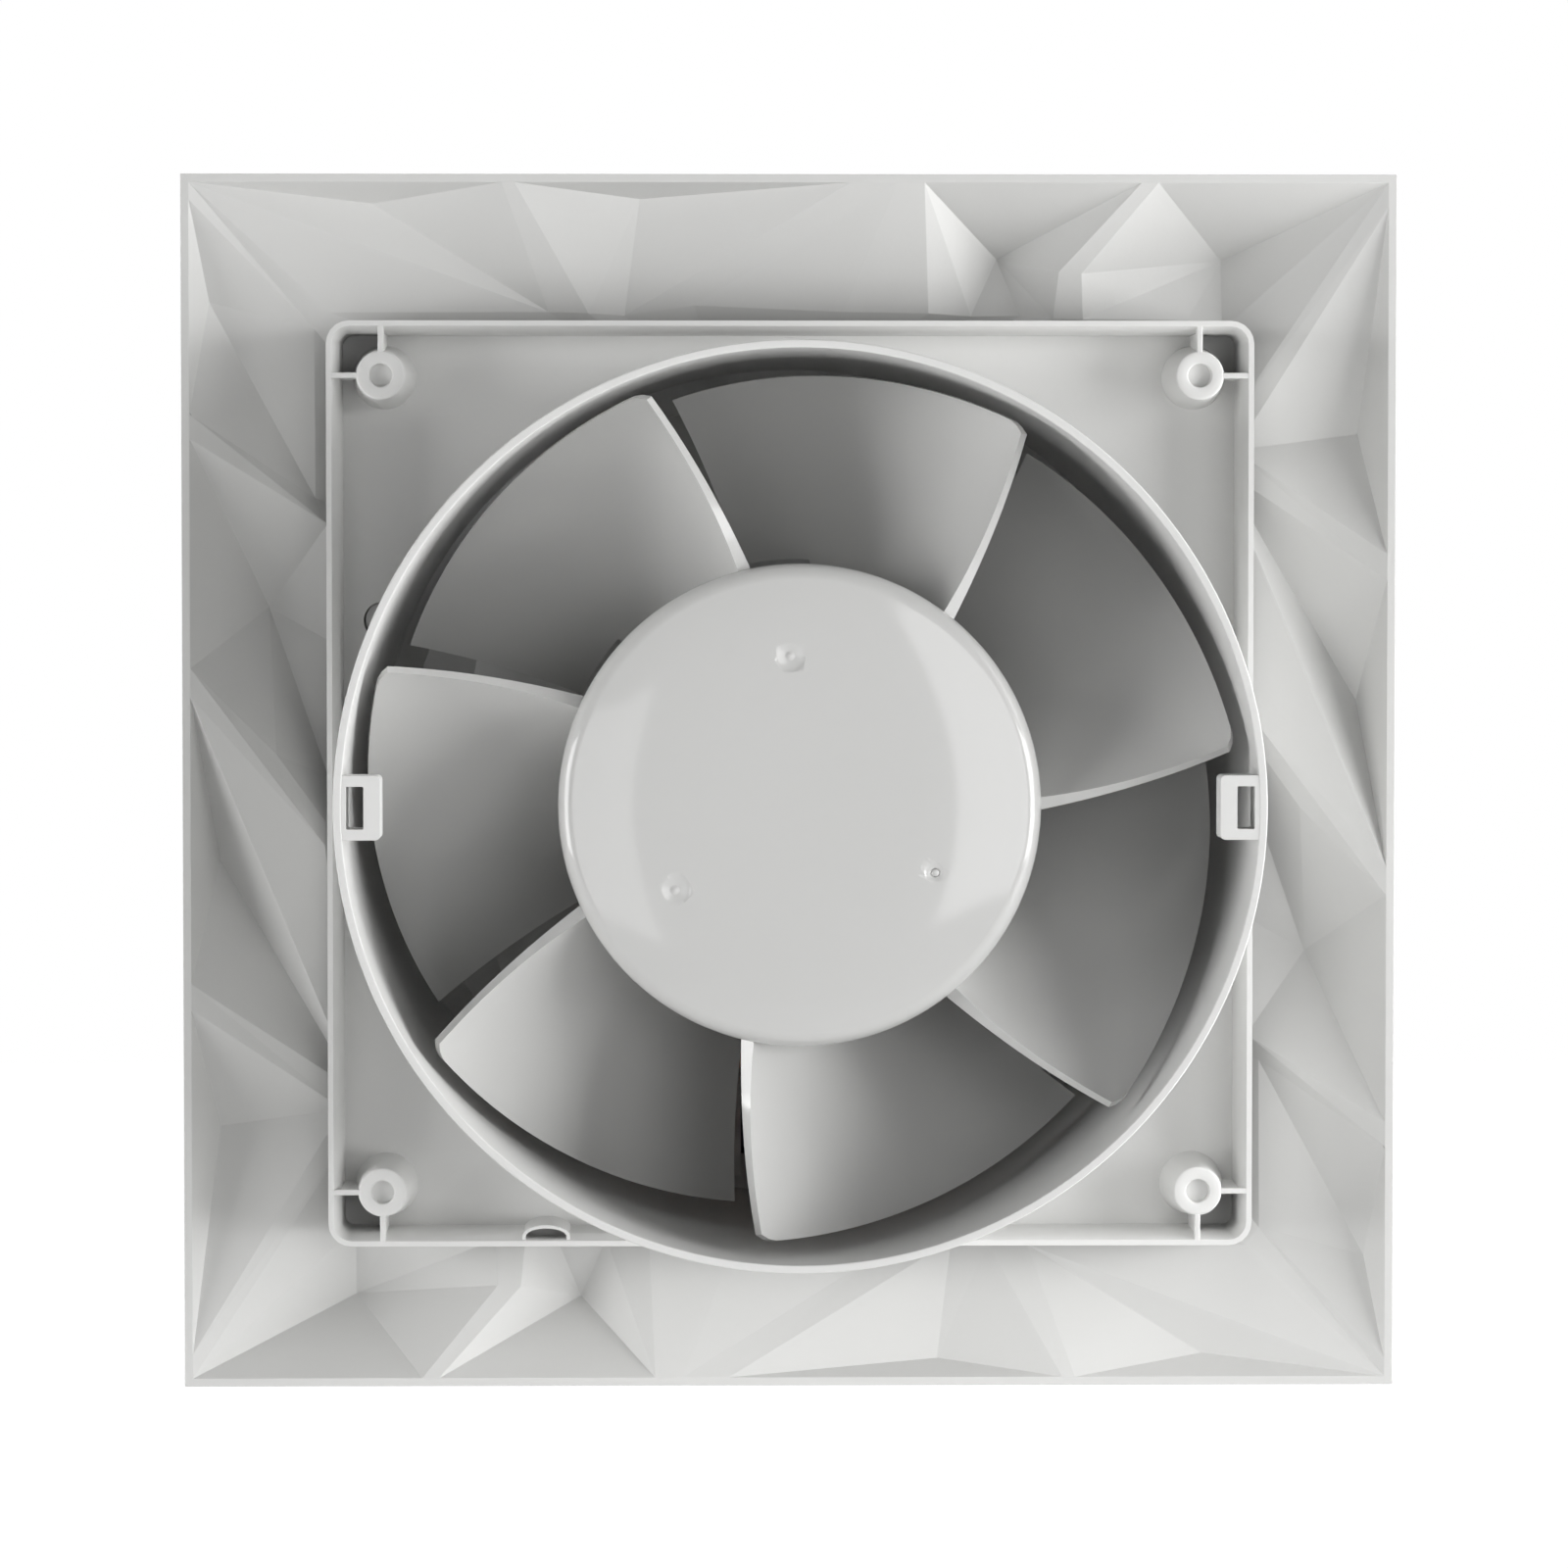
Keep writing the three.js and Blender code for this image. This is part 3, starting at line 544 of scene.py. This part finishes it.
# ---- CAD nodes that keep their shape and get broken edges -----------------------------------------
# Each node has its look and the width of its rounded edges in millimetres.
LOOKS = {
    "shaft": (GROUND, 0.3),
    "impeller_insert": (GROUND, 0.2),
    "rotor_core": (SHEETS, 0.3),
    "washer_front": (NYLON, 0.15),
    "washer_rear": (NYLON, 0.15),
    "stator_stack": (SHEETS, 0.3),
    "coil_core": (SHEETS, 0.2),
    "coil_bobbin": (NYLON, 0.25),
    "coil_winding": (COPPER, 0.4),
    "shading_ring_a": (COPPER, 0.3),
    "shading_ring_b": (COPPER, 0.3),
    "bearing_bridge_front": (CAST, 0.5),
    "bearing_bridge_rear": (CAST, 0.5),
    "bush_front": (BRONZE, 0.2),
    "bush_rear": (BRONZE, 0.2),
    "motor_screw_left": (ZINC, 0.2),
    "motor_screw_right": (ZINC, 0.2),
    "motor_nut_left": (ZINC, 0.25),
    "motor_nut_right": (ZINC, 0.25),
    "damper_left": (RUBBER, 0.4),
    "damper_right": (RUBBER, 0.4),
    "terminal_block": (NYLON, 0.3),
    "terminal_screw_live": (NICKEL, 0.15),
    "terminal_screw_neutral": (NICKEL, 0.15),
    "lead_live": (LIVE, 0),
    "lead_neutral": (NEUTRAL, 0),
}


def dress(name, look, width, angle=35, smooth=True):
    """A CAD node keeps its mesh; modifiers weld its split corners and round its edges."""
    obj = NODES[name]
    obj.data.materials.clear()
    obj.data.materials.append(look)
    weld = obj.modifiers.new("weld", "WELD")
    weld.merge_threshold = 1e-6
    plain = obj.modifiers.new("plain", "DECIMATE")
    plain.decimate_type = "DISSOLVE"
    plain.angle_limit = math.radians(0.6)
    soften(obj, width, angle, smooth=smooth)


tray()
spigot()
catch_loops()
screw_bosses()
motor_frame()
cover_sockets()
hub()
hub_ribs()
blades()
dress("front_cover", COVER, 0.2, angle=5, smooth=False)
for node, (look, width) in LOOKS.items():
    dress(node, look, width)


# ---- studio -------------------------------------------------------------------------------------
AMBIENT = 0.07
FLOOR_Z, FLOOR_SIDE, FLOOR_GLOW, FLOOR_GLOW_SHARE = -0.3, 6, 1.2, 0.85
LIGHT_DISTANCE = 1.1
CAMERA_AT, CAMERA_AIM, CAMERA_LENS = (0.0145, 0.828, 0.033), (0.00097, -0.022, 0.0001), 133


def surroundings():
    """White to the camera, and only a faint light on the object."""
    scene = bpy.context.scene
    scene.view_settings.view_transform = "Standard"
    world = bpy.data.worlds.new("studio")
    scene.world = world
    world.use_nodes = True
    back = world.node_tree.nodes["Background"]
    back.inputs["Color"].default_value = (1, 1, 1, 1)
    rays = world.node_tree.nodes.new("ShaderNodeLightPath")
    strength = ranged(world, rays.outputs["Is Camera Ray"], AMBIENT, 1)
    world.node_tree.links.new(strength, back.inputs["Strength"])


def floor():
    """A pale floor below the fan that the camera sees as nearly white."""
    bpy.ops.mesh.primitive_plane_add(size=FLOOR_SIDE, location=(0, 0, FLOOR_Z))
    plane = bpy.context.object
    plane.name = "floor"
    m = bpy.data.materials.new("floor")
    m.use_nodes = True
    nodes, links = m.node_tree.nodes, m.node_tree.links
    bsdf = nodes["Principled BSDF"]
    bsdf.inputs["Base Color"].default_value = (0.6, 0.6, 0.6, 1)
    bsdf.inputs["Roughness"].default_value = 0.8
    glow = nodes.new("ShaderNodeEmission")
    glow.inputs["Strength"].default_value = FLOOR_GLOW
    rays = nodes.new("ShaderNodeLightPath")
    mix = nodes.new("ShaderNodeMixShader")
    links.new(ranged(m, rays.outputs["Is Camera Ray"], 0, FLOOR_GLOW_SHARE), mix.inputs["Fac"])
    links.new(bsdf.outputs[0], mix.inputs[1])
    links.new(glow.outputs[0], mix.inputs[2])
    links.new(mix.outputs[0], nodes["Material Output"].inputs["Surface"])
    plane.data.materials.append(m)


def softbox(name, azimuth, height, size, watts):
    """A square soft light aimed at the origin. Azimuth 0 is behind the camera, 90 is to its right."""
    turn, lift = math.radians(azimuth), math.radians(height)
    light = bpy.data.lights.new(name, "AREA")
    light.size = size
    light.energy = watts
    obj = bpy.data.objects.new(name, light)
    bpy.context.scene.collection.objects.link(obj)
    place = Vector((-math.sin(turn) * math.cos(lift), math.cos(turn) * math.cos(lift), math.sin(lift)))
    obj.location = place * LIGHT_DISTANCE
    obj.rotation_euler = (-place).to_track_quat("-Z", "Y").to_euler()


def camera():
    """The rear view of the fan, seen along the duct from slightly above and to one side."""
    obj = bpy.data.objects.new("camera", bpy.data.cameras.new("camera"))
    bpy.context.scene.collection.objects.link(obj)
    bpy.context.scene.camera = obj
    obj.location = CAMERA_AT
    obj.rotation_euler = (Vector(CAMERA_AIM) - obj.location).to_track_quat("-Z", "Y").to_euler()
    obj.data.lens = CAMERA_LENS


surroundings()
floor()
softbox("right_side", 84, 0, 0.5, 6)
softbox("right_high", 80, 25, 0.5, 3.5)
softbox("right_low", 80, -25, 0.5, 4.5)
softbox("right_front", 57, 0, 0.5, 6.8)
softbox("right_near", 19, 2, 0.42, 1.6)
softbox("left_front", -62, 0, 0.5, 4.8)
softbox("left_side", -84, 0, 0.5, 3.2)
softbox("left_near", -15, -3, 0.3, 0.5)
softbox("room_side", 200, 35, 0.8, 11)
camera()
